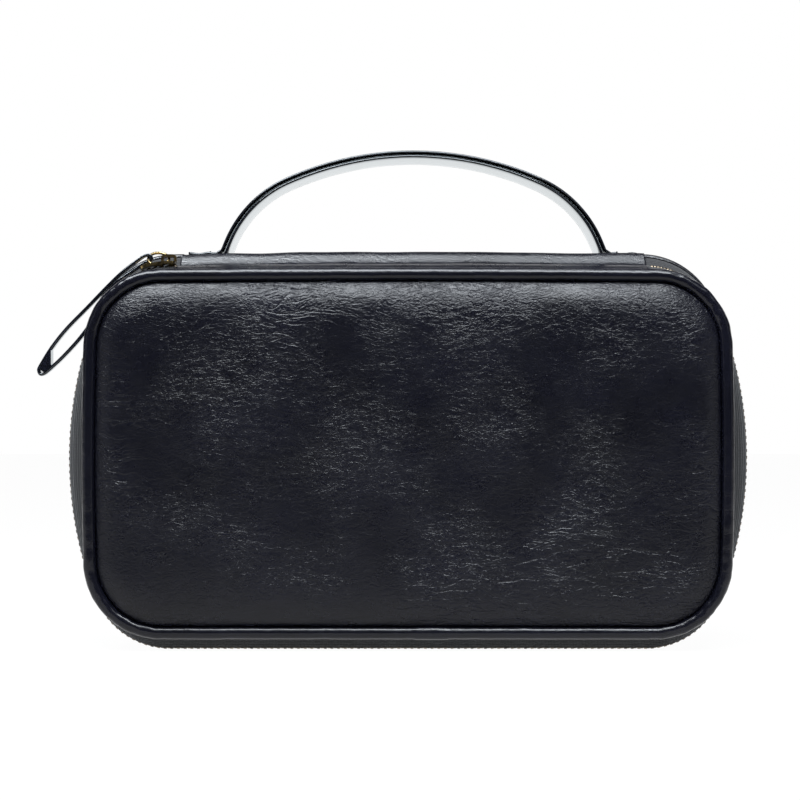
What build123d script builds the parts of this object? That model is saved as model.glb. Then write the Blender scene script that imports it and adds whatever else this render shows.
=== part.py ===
from build123d import *
import math
import os

# A black padded toiletry bag that opens like a clam: a shallow padded lid hangs from a
# leather strip along the top and zips round its left, bottom and right sides to a deeper case.
# X runs to the right, Y away from the viewer and Z up, all in millimetres.
# The origin is the middle of the flat bottom that the bag stands on.

# Outline of the zip line and of the case: barrel sides between round corners
half_width = 127.0
side_bow = 19.0
zip_top = 144.5
crest_top = 149.5
top_rise = 1.2
corner_radius = 30.0

# Outline of the piping round the front panel, straighter than the zip line and inside it
front_half_width = half_width - 6.0
front_bow = 2.0
front_bottom = 4.5
front_top = zip_top - 2.2
front_rise = 0.8
front_corner_radius = 29.0

# Places along the depth
zip_y = -22.0
front_seam_y = -33.5
front_crown = 6.3
back_seam_y = 35.3
back_crown = 2.6
crown_steps = 5
flat_corner_radius = 3.0
gusset_front_y = -12.0
gusset_back_y = 33.0
crest_front_y = -10.5
crest_back_y = 18.5

# Thickness of the materials
leather = 1.2
foam = 2.0
board = 1.1
lining = 0.4
tape = 0.8
layer_gap = 0.1

# Piping round the front and the back panel
piping_radius = 2.5
piping_skin = 0.9
back_piping_inset = 2.9
seam_gap = 0.3

# Zip fastener
teeth_height = 2.4
teeth_width = 2.4
teeth_gap = 0.2
tape_inset = 0.8
straight_tape = 5.5
straight_back_tape = 5.3
tape_under_piping = 1.4
binding = 1.0
binding_width = 2.6

# Leather strip on the top, which carries the handle and is the hinge of the lid
strip_left_x = -half_width + 41.0
strip_right_x = half_width - 37.0
strip_board_margin = 2.0
lid_tape_notch = 19.5
hinge_gap = 0.3

# Handle, a two layered strap that stands in an arch
handle_centre_x = 2.2
handle_top = 188.5
handle_width = 28.0
handle_y = 4.0
handle_skin = 1.1
handle_core = 0.8
crown_arc_radius = 120.0
crown_arc_angle = 24.0
shoulder_arc_radius = 45.3
shoulder_arc_angle = 68.0
handle_tab_length = 12.0
stitch_count = 8
stitch_row_place = 0.55
stitch_edge_margin = 2.0
stitch_length = 2.4
stitch_width = 0.6
stitch_height = 0.3

# Slider of the zip, which rides round the upper left corner
slider_rest_angle = 99.0
slider_travel = 48.0
slider_length = 13.0
slider_width = 10.0
slider_plate = 1.0
slider_gap = 0.5
slider_corner_radius = 2.2
slider_zone_margin = 2.0
neck_width = 1.0
neck_length = 2.6
corner_spread = 0.8
crown_shift = -0.69
crown_length = 5.8
crown_bar = 1.0
crown_round = 1.4
crown_width = 2.6
crown_hole = 1.7
crown_sink = 0.25

# Ring and leather loop that pull the slider
ring_wire = 1.1
ring_length = 7.8
ring_far_width = 8.8
ring_near_width = 5.2
ring_corner = 1.0
ring_lift_angle = 15.0
pull_width = 6.0
pull_skin = 1.0
pull_play = 0.25
pull_length = 60.0
pull_end_radius = 1.6
pull_tip_length = 5.5

# Outer side of the loop seen from the front, in shares of the pull's length from the ring's wire:
# along the upper run to the tip and back along the lower run, each corner with its radius
loop_shape = [
    ((-0.040, 0.057), 0.067),
    ((-0.587, -0.488), 0.400),
    ((-0.698, -0.725), 0.033),
    ((-0.653, -0.770), 0.033),
    ((-0.517, -0.643), 0.267),
    ((-0.373, -0.477), 0.367),
    ((-0.330, -0.340), 0.200),
    ((-0.205, -0.183), 0.433),
    ((-0.067, -0.067), 0.167),
]

os.makedirs("parts", exist_ok=True)


def circle_meeting(first, second):
    """Upper right point where two circles cross, each given as centre x, centre z and radius."""
    x_first, z_first, r_first = first
    x_second, z_second, r_second = second
    apart = math.hypot(x_second - x_first, z_second - z_first)
    along = (r_first**2 - r_second**2 + apart**2) / (2 * apart)
    aside = math.sqrt(r_first**2 - along**2)
    step_x = (x_second - x_first) / apart
    step_z = (z_second - z_first) / apart
    x_foot = x_first + along * step_x
    z_foot = z_first + along * step_z
    return max((x_foot - aside * step_z, z_foot + aside * step_x),
               (x_foot + aside * step_z, z_foot - aside * step_x))


def rounded(width, bottom, top, bow, rise, radius, inset):
    """Flat bottom, bowed sides, arched top and round corners, drawn inwards by the inset."""
    half_height = (top - rise - bottom) / 2
    middle_z = bottom + half_height
    side_radius = (half_height**2 + bow**2) / (2 * bow)
    top_radius = ((width - bow) ** 2 + rise**2) / (2 * rise)
    side_circle = (width - side_radius, middle_z, side_radius - inset)
    top_circle = (0.0, top - top_radius, top_radius - inset)
    low_z = bottom + inset
    low_x = side_circle[0] + math.sqrt(side_circle[2] ** 2 - (low_z - middle_z) ** 2)
    high_x, high_z = circle_meeting(side_circle, top_circle)
    side_x = width - inset
    edges = [
        Line((-low_x, low_z), (low_x, low_z)),
        ThreePointArc((low_x, low_z), (side_x, middle_z), (high_x, high_z)),
        ThreePointArc((high_x, high_z), (0, top - inset), (-high_x, high_z)),
        ThreePointArc((-high_x, high_z), (-side_x, middle_z), (-low_x, low_z)),
    ]
    face = make_face(edges)
    return fillet(face.vertices(), radius - inset)


def outline(top, inset=0.0):
    """Front view of the zip line and of the case behind it."""
    return rounded(half_width, 0.0, top, side_bow, top_rise, corner_radius, inset)


def front_outline(inset=0.0):
    """Front view of the piping round the front panel, to its outer edge."""
    return rounded(front_half_width, front_bottom, front_top, front_bow, front_rise,
                   front_corner_radius, inset)


def at_depth(shape, y):
    """Stand a flat drawing up so that it faces the viewer at depth y."""
    return Plane.XZ.offset(-y) * shape


def block(x_low, x_high, y_low, y_high, z_low, z_high):
    size = (x_high - x_low, y_high - y_low, z_high - z_low)
    middle = ((x_low + x_high) / 2, (y_low + y_high) / 2, (z_low + z_high) / 2)
    return Pos(*middle) * Box(*size)


def form(stations):
    """Solid through outlines of the case, each given as its depth, its top and its inset."""
    return loft([at_depth(outline(top, inset), y) for y, top, inset in stations], ruled=True)


def band(stations, thickness):
    """Hollow band that follows the outline, open at both ends."""
    inner = [(y, top, inset + thickness) for y, top, inset in stations]
    return form(stations) - form(inner)


def lid_band(front_y, front_inset, stations, thickness):
    """Hollow band from the outline of the front piping to the outline of the zip line."""
    solids = []
    for extra in (0.0, thickness):
        sections = [at_depth(front_outline(front_inset + extra), front_y)]
        sections += [at_depth(outline(zip_top, inset + extra), y) for y, inset in stations]
        solids.append(loft(sections, ruled=True))
    return solids[0] - solids[1]


def back_shape(inset):
    return outline(zip_top, inset)


def plate(shape, y_low, y_high, inset):
    return loft([at_depth(shape(inset), y_low), at_depth(shape(inset), y_high)], ruled=True)


def only(shape):
    """The shape as a plain solid, or as a group where it has several."""
    solids = shape.solids()
    if len(solids) == 1:
        return solids[0]
    return Compound(solids)


# Reach of a zone that is meant to go right through the bag
far = 4 * half_width

# Depths and tops of the case: level at the zip, raised under the handle
case_stations = [
    (zip_y + hinge_gap / 2, zip_top),
    (zip_y + straight_back_tape, zip_top),
    (crest_front_y, crest_top),
    (crest_back_y, crest_top),
    (gusset_back_y, zip_top),
]


def case_band(inset, thickness):
    return band([(y, top, inset) for y, top in case_stations], thickness)


def between(y_low, y_high):
    return block(-far, far, y_low, y_high, -far, far)


strip_zone = block(strip_left_x, strip_right_x, -far, far, zip_top / 2, far)

# Path of the slider: the round upper left corner of the zip line
zip_outline = outline(zip_top)
corner_guess = (-half_width + side_bow, zip_top)
corner_arc = zip_outline.edges().filter_by(GeomType.CIRCLE).sort_by_distance(corner_guess)[0]
corner_x = corner_arc.arc_center.X
corner_z = corner_arc.arc_center.Y
slider_half_angle = math.degrees(slider_length / 2 / corner_radius)


def polar(radius, angle):
    turn = math.radians(angle)
    return (corner_x + radius * math.cos(turn), corner_z + radius * math.sin(turn))


slider_zone_end = slider_rest_angle + slider_travel + slider_half_angle + slider_zone_margin
slider_zone_outline = make_face(
    Polyline(
        (corner_x, corner_z),
        polar(2 * corner_radius, slider_zone_end),
        (-2 * half_width, 2 * crest_top),
        (strip_left_x, 2 * crest_top),
        (strip_left_x, corner_z),
        close=True,
    )
)
slider_zone = extrude(at_depth(slider_zone_outline, far), amount=2 * far)


def piping(shape, y, inset, radius, hole=0.0):
    """Tube that runs round a panel, its middle this far inside the outline."""
    path = at_depth(shape(inset), y).wires()[0]
    section_plane = Plane(origin=path @ 0, z_dir=path % 0)
    tube = sweep(section_plane * Circle(radius), path=path)
    if hole:
        tube = tube - sweep(section_plane * Circle(hole), path=path)
    return tube


def crowned(shape, radius, y, inset, rise, towards, back):
    """Padded panel: it rises from its edge in a quarter round and is flat on the other side."""
    spread = radius - flat_corner_radius - inset
    sections = [at_depth(shape(inset), y - back * towards)]
    for step in range(crown_steps + 1):
        turn = math.pi / 2 * step / crown_steps
        section_inset = inset + spread * (1 - math.cos(turn))
        sections.append(at_depth(shape(section_inset), y + towards * rise * math.sin(turn)))
    return loft(sections, ruled=True)


parts = {}

# Lid: padded front panel with its foam, board and lining
front_edge_inset = 2 * piping_radius + seam_gap
board_front_y = front_seam_y + piping_radius
panel_depth = piping_radius - layer_gap


def front_crown_solid(inset, rise):
    return crowned(front_outline, front_corner_radius, front_seam_y, inset, rise, -1, panel_depth)


foam_inset = front_edge_inset + leather
foam_rise = front_crown - leather
parts["front_panel"] = front_crown_solid(front_edge_inset, front_crown) - front_crown_solid(
    foam_inset, foam_rise
)
parts["front_foam"] = front_crown_solid(foam_inset + layer_gap, foam_rise - layer_gap)
board_back_y = board_front_y + board
parts["front_board"] = plate(front_outline, board_front_y, board_back_y, front_edge_inset)
lining_back_y = board_back_y + layer_gap + lining
parts["front_lining"] = plate(
    front_outline, board_back_y + layer_gap, lining_back_y, front_edge_inset
)

# Lid: piping with its cord
parts["front_piping"] = piping(front_outline, front_seam_y, piping_radius, piping_radius,
                               piping_radius - piping_skin)
parts["front_piping_cord"] = piping(front_outline, front_seam_y, piping_radius,
                                    piping_radius - piping_skin - layer_gap)

# Lid: leather flap in the strip zone, and zip tape with its teeth round the other sides
front_rail_y = zip_y - teeth_gap / 2
front_tape_y = front_rail_y - teeth_width
flap_front_y = front_seam_y + piping_radius + layer_gap
flap = lid_band(
    flap_front_y,
    tape_under_piping,
    [(zip_y - straight_tape, tape_inset), (zip_y - hinge_gap / 2, 0.0)],
    leather,
)
parts["lid_flap"] = flap & strip_zone
front_tape = lid_band(
    flap_front_y,
    tape_under_piping,
    [(zip_y - straight_tape, tape_inset), (front_tape_y, tape_inset)],
    tape,
)
lid_side = slider_zone & between(zip_y - straight_tape, far)
# Beside the strip the lid has no tape of its own, so that it opens past the leather pull
notch_left_x = strip_left_x - lid_tape_notch
notch_zone = block(notch_left_x, handle_centre_x, -far, far, zip_top / 2, far)
parts["zip_tape_front"] = front_tape - strip_zone - notch_zone - lid_side
front_rail = band([(front_tape_y, zip_top, 0.0), (front_rail_y, zip_top, 0.0)], teeth_height)
parts["zip_teeth_front"] = front_rail - strip_zone - slider_zone
binding_inset = tape_under_piping + leather + seam_gap
binding_back_y = flap_front_y + binding_width
parts["lid_binding"] = plate(front_outline, flap_front_y, binding_back_y, binding_inset) - plate(
    front_outline, flap_front_y, binding_back_y, binding_inset + binding
)

# Case: padded back panel with its foam, board and lining
back_edge_inset = back_piping_inset + piping_radius + seam_gap


def back_crown_solid(inset, rise):
    return crowned(back_shape, corner_radius, back_seam_y, inset, rise, 1, panel_depth)


back_foam_inset = back_edge_inset + leather
back_foam_rise = back_crown - leather
parts["back_panel"] = back_crown_solid(back_edge_inset, back_crown) - back_crown_solid(
    back_foam_inset, back_foam_rise
)
parts["back_foam"] = back_crown_solid(back_foam_inset + layer_gap, back_foam_rise - layer_gap)
back_board_y = back_seam_y - piping_radius
parts["back_board"] = plate(back_shape, back_board_y - board, back_board_y, back_edge_inset)
back_lining_y = back_board_y - board - layer_gap
parts["back_lining"] = plate(back_shape, back_lining_y - lining, back_lining_y, back_edge_inset)
parts["back_piping"] = piping(back_shape, back_seam_y, back_piping_inset, piping_radius,
                              piping_radius - piping_skin)
parts["back_piping_cord"] = piping(back_shape, back_seam_y, back_piping_inset,
                                   piping_radius - piping_skin - layer_gap)

# Case: leather gusset, its foam and lining, and the leather strip on the top
leather_shell = case_band(0.0, leather)
gusset_range = between(gusset_front_y, gusset_back_y)
parts["gusset"] = (leather_shell & gusset_range) - strip_zone
parts["top_strip"] = leather_shell & strip_zone
foam_shell = case_band(leather + layer_gap, foam)
wall_back_y = back_lining_y - lining - layer_gap
foam_range = between(gusset_front_y, wall_back_y)
parts["gusset_foam"] = (foam_shell & foam_range) - strip_zone
board_zone = block(
    strip_left_x + strip_board_margin, strip_right_x - strip_board_margin,
    crest_front_y, crest_back_y,
    crest_top / 2, far,
)
parts["top_board"] = case_band(leather + layer_gap, board) & board_zone
lining_shell = case_band(leather + foam + 2 * layer_gap, lining)
parts["gusset_lining"] = lining_shell & foam_range
case_binding_inset = leather + foam + lining + 3 * layer_gap + seam_gap
parts["case_binding"] = band(
    [
        (wall_back_y - binding_width, zip_top, case_binding_inset),
        (wall_back_y, zip_top, case_binding_inset),
    ],
    binding,
)

# Case: back zip tape and its teeth, and the short closed stretch at the corner
back_rail_y = zip_y + teeth_gap / 2
back_tape_y = back_rail_y + teeth_width
tape_shell = case_band(tape_inset, tape)
back_tape = tape_shell & between(back_tape_y, gusset_front_y)
corner_back_y = back_rail_y + corner_spread + teeth_width
corner_cut = slider_zone & between(back_tape_y, corner_back_y)
parts["zip_tape_back"] = back_tape - strip_zone - corner_cut
back_rail = band([(back_rail_y, zip_top, 0.0), (back_tape_y, zip_top, 0.0)], teeth_height)
parts["zip_teeth_back"] = back_rail - strip_zone - slider_zone
spread_back = band(
    [(back_rail_y + corner_spread, zip_top, 0.0), (corner_back_y, zip_top, 0.0)], teeth_height
)
front_spread_y = front_rail_y - corner_spread
corner_front_y = front_spread_y - teeth_width
spread_front = band(
    [(corner_front_y, zip_top, 0.0), (front_spread_y, zip_top, 0.0)], teeth_height
)
corner_zone = slider_zone - strip_zone
parts["zip_teeth_corner_back"] = spread_back & corner_zone
parts["zip_teeth_corner_front"] = spread_front & corner_zone
corner_tape = band(
    [
        (zip_y - straight_tape + seam_gap, zip_top, tape_inset),
        (corner_front_y, zip_top, tape_inset),
    ],
    tape,
)
parts["zip_tape_corner"] = corner_tape & corner_zone


# Handle: outer layer, core and inner layer of the strap
def arch_point(depth, angle):
    """Point of the strap at a depth below its outer side, left (negative) or right of the top."""
    side = 1 if angle >= 0 else -1
    swing = abs(angle)
    reach = (crown_arc_radius - depth) * math.sin(math.radians(min(swing, crown_arc_angle)))
    drop = crown_arc_radius - (crown_arc_radius - depth) * math.cos(
        math.radians(min(swing, crown_arc_angle))
    )
    if swing > crown_arc_angle:
        radius = shoulder_arc_radius - depth
        first = math.radians(crown_arc_angle)
        last = math.radians(swing)
        reach += radius * (math.sin(last) - math.sin(first))
        drop += radius * (math.cos(first) - math.cos(last))
    return (handle_centre_x + side * reach, handle_top - drop)


def arch_line(depth):
    """The whole arch from left to right as three tangent arcs."""
    shoulder_middle = (crown_arc_angle + shoulder_arc_angle) / 2
    left = ThreePointArc(
        arch_point(depth, -shoulder_arc_angle),
        arch_point(depth, -shoulder_middle),
        arch_point(depth, -crown_arc_angle),
    )
    middle = ThreePointArc(
        arch_point(depth, -crown_arc_angle), arch_point(depth, 0), arch_point(depth, crown_arc_angle)
    )
    right = ThreePointArc(
        arch_point(depth, crown_arc_angle),
        arch_point(depth, shoulder_middle),
        arch_point(depth, shoulder_arc_angle),
    )
    return [left, middle, right]


def strip_surface(x):
    """Height of the leather strip under the handle."""
    reach = half_width - side_bow
    arch_radius = (reach**2 + top_rise**2) / (2 * top_rise)
    return crest_top - arch_radius + math.sqrt(arch_radius**2 - x**2)


def foot_point(depth, side):
    """Where the strap, run on straight from its arch, meets the leather strip."""
    start_x, start_z = arch_point(depth, side * shoulder_arc_angle)
    fall = start_z - strip_surface(start_x) - seam_gap
    run = fall / math.tan(math.radians(shoulder_arc_angle))
    return (start_x + side * run, start_z - fall)


def strap_layer(top_depth, bottom_depth):
    """One layer of the strap, from foot to foot."""
    outer = arch_line(top_depth)
    inner = arch_line(bottom_depth)
    sides = []
    for side in (-1, 1):
        sides.append(
            Polyline(
                arch_point(top_depth, side * shoulder_arc_angle),
                foot_point(top_depth, side),
                foot_point(bottom_depth, side),
                arch_point(bottom_depth, side * shoulder_arc_angle),
            )
        )
    profile = make_face(outer + inner + sides)
    return extrude(at_depth(profile, handle_y + handle_width / 2), amount=handle_width)


def handle_tab(side):
    """End of the outer layer, turned outwards and sewn flat onto the leather strip."""
    foot_x, foot_z = foot_point(0.0, side)
    end_x = foot_x + side * handle_tab_length
    end_z = strip_surface(end_x) + seam_gap
    profile = make_face(
        Polyline(
            (foot_x - side * handle_skin, foot_z),
            (end_x, end_z),
            (end_x, end_z + handle_skin + handle_core),
            (foot_x - side * handle_skin, foot_z + handle_skin + handle_core),
            close=True,
        )
    )
    return extrude(at_depth(profile, handle_y + handle_width / 2), amount=handle_width)


def tab_stitches(side):
    """Row of stitches across the strap where its end is sewn down."""
    foot_x, foot_z = foot_point(0.0, side)
    stitch_x = foot_x + side * handle_tab_length * stitch_row_place
    tab_top_z = strip_surface(stitch_x) + seam_gap + handle_skin + handle_core
    stitch_z = tab_top_z + stitch_height / 2 + 2 * layer_gap
    pitch = (handle_width - 2 * stitch_edge_margin) / stitch_count
    first_y = handle_y - pitch * (stitch_count - 1) / 2
    stitches = []
    for number in range(stitch_count):
        place = Pos(stitch_x, first_y + pitch * number, stitch_z)
        stitches.append(place * Box(stitch_width, stitch_length, stitch_height))
    return stitches


core_top = handle_skin + layer_gap / 2
core_bottom = core_top + handle_core
inner_top = core_bottom + layer_gap / 2
parts["handle_outer"] = strap_layer(0.0, handle_skin) + handle_tab(-1) + handle_tab(1)
parts["handle_core"] = strap_layer(core_top, core_bottom)
parts["handle_inner"] = strap_layer(inner_top, inner_top + handle_skin)
parts["handle_stitches"] = Compound(tab_stitches(-1) + tab_stitches(1))

# Slider: two curved plates joined by a neck that runs between the two rows of teeth
plate_low = corner_radius - teeth_height - slider_gap - slider_plate
plate_mid_low = corner_radius - teeth_height - slider_gap
plate_mid_high = corner_radius + slider_gap
plate_high = corner_radius + slider_gap + slider_plate


def corner_sector(inner, outer, first, last, y_middle, width):
    """Piece of a ring round the corner's centre, between two angles."""
    middle = (first + last) / 2
    profile = make_face(
        [
            ThreePointArc(polar(outer, first), polar(outer, middle), polar(outer, last)),
            Line(polar(outer, last), polar(inner, last)),
            ThreePointArc(polar(inner, last), polar(inner, middle), polar(inner, first)),
            Line(polar(inner, first), polar(outer, first)),
        ]
    )
    return extrude(at_depth(profile, y_middle + width / 2), amount=width)


slider_first = slider_rest_angle - slider_half_angle
slider_last = slider_rest_angle + slider_half_angle
neck_angle = math.degrees(neck_length / corner_radius)
outer_plate = corner_sector(plate_mid_high, plate_high, slider_first, slider_last, zip_y, slider_width)
inner_plate = corner_sector(plate_low, plate_mid_low, slider_first, slider_last, zip_y, slider_width)
neck = corner_sector(plate_low, plate_high, slider_first, slider_first + neck_angle, zip_y, neck_width)
slider_body = outer_plate + inner_plate + neck
tolerance = 0.05
slider_corners = slider_body.edges().filter_by(
    lambda edge: abs(edge.length - slider_plate) < tolerance and abs((edge % 0.5).Y) < tolerance
)
parts["slider_body"] = fillet(slider_corners, slider_corner_radius)

crown_x = corner_x + crown_shift
crown_foot_z = corner_z + plate_high - crown_sink
crown_top_z = corner_z + plate_high + crown_hole + crown_bar
crown_outer = block(
    crown_x - crown_length / 2, crown_x + crown_length / 2,
    zip_y - crown_width / 2, zip_y + crown_width / 2,
    crown_foot_z, crown_top_z,
)
crown_outer = fillet(
    crown_outer.edges().filter_by(Axis.Y).group_by(Axis.Z)[-1], crown_round
)
crown_hole_block = block(
    crown_x - crown_length / 2 + crown_bar, crown_x + crown_length / 2 - crown_bar,
    -far, far,
    -far, crown_top_z - crown_bar,
)
crown_bridge = crown_outer - crown_hole_block
crown_seat = extrude(
    at_depth(Pos(corner_x, corner_z) * Circle(plate_high), zip_y + slider_width),
    amount=2 * slider_width,
)
parts["slider_crown"] = crown_bridge - crown_seat

# Ring through the crown, wider where the leather loop hangs in it
ring_x = crown_x
ring_z = crown_top_z - crown_bar - crown_hole / 2
lift = math.radians(ring_lift_angle)
ring_plane = Plane(
    origin=(ring_x, zip_y, ring_z),
    x_dir=(-math.cos(lift), 0, math.sin(lift)),
    z_dir=(math.sin(lift), 0, math.cos(lift)),
)
ring_path = ring_plane * FilletPolyline(
    (0, ring_near_width / 2),
    (0, -ring_near_width / 2),
    (ring_length, -ring_far_width / 2),
    (ring_length, ring_far_width / 2),
    radius=ring_corner,
    close=True,
)
ring_start = Plane(origin=ring_path @ 0, z_dir=ring_path % 0)
parts["pull_ring"] = sweep(ring_start * Circle(ring_wire / 2), path=ring_path)

# Leather loop through the ring: its two runs meet in a doubled tip
loop_x = ring_x - ring_length * math.cos(lift)
loop_z = ring_z + ring_length * math.sin(lift)
loop_end = ring_wire / 2 + pull_play + pull_skin

loop_corners = [((loop_end, loop_end), pull_end_radius)]
for (share_x, share_z), share_radius in loop_shape:
    place = (share_x * pull_length, share_z * pull_length)
    loop_corners.append((place, share_radius * pull_length))
loop_corners.append(((loop_end, -loop_end), pull_end_radius))


def loop_face(inset):
    """The loop's outline, drawn inwards by the inset."""
    points = [corner[0] for corner in loop_corners]
    inset_points = []
    inset_radii = []
    for index, (place, radius) in enumerate(loop_corners):
        before = Vector(*points[index - 1])
        after = Vector(*points[(index + 1) % len(points)])
        here = Vector(*place)
        way_in = (here - before).normalized()
        way_out = (after - here).normalized()
        normal_in = Vector(-way_in.Y, way_in.X)
        normal_out = Vector(-way_out.Y, way_out.X)
        shift = (normal_in + normal_out) * (inset / (1 + normal_in.dot(normal_out)))
        turns_in = way_in.X * way_out.Y - way_in.Y * way_out.X > 0
        inset_points.append((loop_x + here.X + shift.X, loop_z + here.Y + shift.Y))
        inset_radii.append(radius - inset if turns_in else radius + inset)
    return make_face(FilletPolyline(*inset_points, radius=inset_radii, close=True))


def loop_slab(inset):
    return extrude(at_depth(loop_face(inset), zip_y + pull_width / 2), amount=pull_width)


parts["pull_strap"] = loop_slab(0.0) - loop_slab(pull_skin)
tip_end_x = loop_x + min(place[0] for place, _ in loop_corners) + pull_tip_length
tip_zone = block(-far, tip_end_x, -far, far, -far, far)
parts["pull_tip"] = loop_slab(pull_skin + layer_gap) & tip_zone

print("corner", corner_x, corner_z, "ring", ring_x, ring_z, "loop", loop_x, loop_z)

for name, shape in parts.items():
    export_step(only(shape), "parts/" + name + ".step")
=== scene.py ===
import math

import bmesh
import bpy
import numpy as np
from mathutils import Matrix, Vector


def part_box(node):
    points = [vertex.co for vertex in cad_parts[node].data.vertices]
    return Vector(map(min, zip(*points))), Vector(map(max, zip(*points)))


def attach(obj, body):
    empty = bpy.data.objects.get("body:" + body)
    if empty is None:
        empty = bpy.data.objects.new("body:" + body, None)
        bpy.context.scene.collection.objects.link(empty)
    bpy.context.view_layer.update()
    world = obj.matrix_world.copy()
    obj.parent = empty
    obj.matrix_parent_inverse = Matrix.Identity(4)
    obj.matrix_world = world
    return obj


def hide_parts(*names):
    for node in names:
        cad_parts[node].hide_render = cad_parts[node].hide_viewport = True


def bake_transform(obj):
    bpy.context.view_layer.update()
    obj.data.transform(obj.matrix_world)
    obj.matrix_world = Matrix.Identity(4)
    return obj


# Looks of a black padded toiletry bag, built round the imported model.
# X is to the right, Y away from the viewer and Z up. The bag's sizes are typed in millimetres,
# and the sizes of the stage and of the lamps in metres.

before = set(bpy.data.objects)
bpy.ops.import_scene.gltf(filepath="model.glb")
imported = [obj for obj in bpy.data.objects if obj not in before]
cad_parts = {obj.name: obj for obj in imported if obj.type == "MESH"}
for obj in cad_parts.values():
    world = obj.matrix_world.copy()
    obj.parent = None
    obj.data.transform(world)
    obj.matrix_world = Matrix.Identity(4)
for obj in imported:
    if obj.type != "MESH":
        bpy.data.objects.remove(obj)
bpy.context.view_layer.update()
MM = 0.001

# Outlines of the zip line and of the case. The width is half the width, bow is how far the sides
# bulge, rise is how far the top bulges, and radius is that of the four corners.
ZIP = {"width": 127.0, "bottom": 0.0, "top": 144.5, "bow": 19.0, "rise": 1.2, "radius": 30.0}
CREST = {"width": 127.0, "bottom": 0.0, "top": 149.5, "bow": 19.0, "rise": 1.2, "radius": 30.0}
# Outline of the piping round the front panel
FRONT = {"width": 121.0, "bottom": 4.5, "top": 142.3, "bow": 2.0, "rise": 0.8, "radius": 29.0}

# Depths of the seams and of the raised top
ZIP_Y = -22.0
FRONT_SEAM_Y = -33.5
BACK_SEAM_Y = 35.3
GUSSET_FRONT_Y = -12.0
GUSSET_BACK_Y = 33.0
CREST_FRONT_Y = -10.5
CREST_BACK_Y = 18.5

# Piping, ends of the top strip and thickness of the leather
PIPING_RADIUS = 2.5
BACK_PIPING_INSET = 2.9
STRIP_LEFT_X = -86.0
STRIP_RIGHT_X = 90.0
LEATHER = 1.2

# Softened edges of CAD pieces
BEVEL_SEGMENTS = 2
BEVEL_ANGLE = 40

# Points along each stretch of an outline: top or bottom, side, corner
STRAIGHT_POINTS = 220
SIDE_POINTS = 120
CORNER_POINTS = 60


def noise(points, scale, seed, octaves=3):
    """Smooth random waves at each point, about -1 to 1, for points in millimetres."""
    rng = np.random.default_rng(seed)
    total = np.zeros(len(points))
    weight = 0.0
    for octave in range(octaves):
        size = 0.6**octave
        for _ in range(5):
            direction = rng.normal(size=3)
            direction /= np.linalg.norm(direction)
            phase = rng.uniform(0, 2 * math.pi)
            length = scale * size * rng.uniform(0.7, 1.4)
            total += size * np.sin(points @ direction * (2 * math.pi / length) + phase)
            weight += size * 0.5
    return total / weight


def outline(shape):
    """Points of an outline and their outward normals, anticlockwise from the middle of the bottom."""
    width, bottom, top = shape["width"], shape["bottom"], shape["top"]
    bow, rise, radius = shape["bow"], shape["rise"], shape["radius"]
    half = (top - rise - bottom) / 2
    middle = bottom + half
    side_r = (half**2 + bow**2) / (2 * bow)
    top_r = ((width - bow) ** 2 + rise**2) / (2 * rise)
    side_c = np.array([width - side_r, middle])
    top_c = np.array([0.0, top - top_r])
    low_z = bottom + radius
    low_c = np.array([side_c[0] + math.sqrt((side_r - radius) ** 2 - (low_z - middle) ** 2), low_z])
    apart = np.linalg.norm(top_c - side_c)
    along = ((side_r - radius) ** 2 - (top_r - radius) ** 2 + apart**2) / (2 * apart)
    aside = math.sqrt((side_r - radius) ** 2 - along**2)
    step = (top_c - side_c) / apart
    first = side_c + along * step + aside * np.array([step[1], -step[0]])
    second = side_c + along * step - aside * np.array([step[1], -step[0]])
    high_c = first if first[0] > second[0] else second
    low_a = math.atan2(*(low_c - side_c)[::-1])
    side_a = math.atan2(*(high_c - side_c)[::-1])
    high_a = math.atan2(*(high_c - top_c)[::-1])

    def arc(centre, r, start, end, count):
        turn = np.linspace(start, end, count, endpoint=False)
        normal = np.stack([np.cos(turn), np.sin(turn)], 1)
        return centre + r * normal, normal

    def line(start, end, count):
        step = np.linspace(0, 1, count, endpoint=False)[:, None]
        return np.array(start) * (1 - step) + np.array(end) * step, np.tile([0.0, -1.0], (count, 1))

    def mirror(centre):
        return np.array([-centre[0], centre[1]])

    half_points = STRAIGHT_POINTS // 2
    parts = [
        line((0, bottom), (low_c[0], bottom), half_points),
        arc(low_c, radius, -math.pi / 2, low_a, CORNER_POINTS),
        arc(side_c, side_r, low_a, side_a, SIDE_POINTS),
        arc(high_c, radius, side_a, high_a, CORNER_POINTS),
        arc(top_c, top_r, high_a, math.pi - high_a, STRAIGHT_POINTS),
        arc(mirror(high_c), radius, math.pi - high_a, math.pi - side_a, CORNER_POINTS),
        arc(mirror(side_c), side_r, math.pi - side_a, math.pi - low_a, SIDE_POINTS),
        arc(mirror(low_c), radius, math.pi - low_a, math.pi * 1.5, CORNER_POINTS),
        line((-low_c[0], bottom), (0, bottom), half_points),
    ]
    return np.concatenate([p for p, _ in parts]), np.concatenate([n for _, n in parts])


OUTLINES = {"zip": outline(ZIP), "crest": outline(CREST), "front": outline(FRONT)}
COUNT = len(OUTLINES["zip"][0])


def ring(name, inset, y, indices=None):
    """One ring of points at a depth, this far inside an outline; inset and y may vary along it."""
    points, normals = OUTLINES[name]
    if indices is not None:
        points = points[indices]
        normals = normals[indices]
    flat = points - normals * np.reshape(inset, (-1, 1))
    return np.stack([flat[:, 0], np.broadcast_to(y, (len(flat),)), flat[:, 1]], 1)


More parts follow.
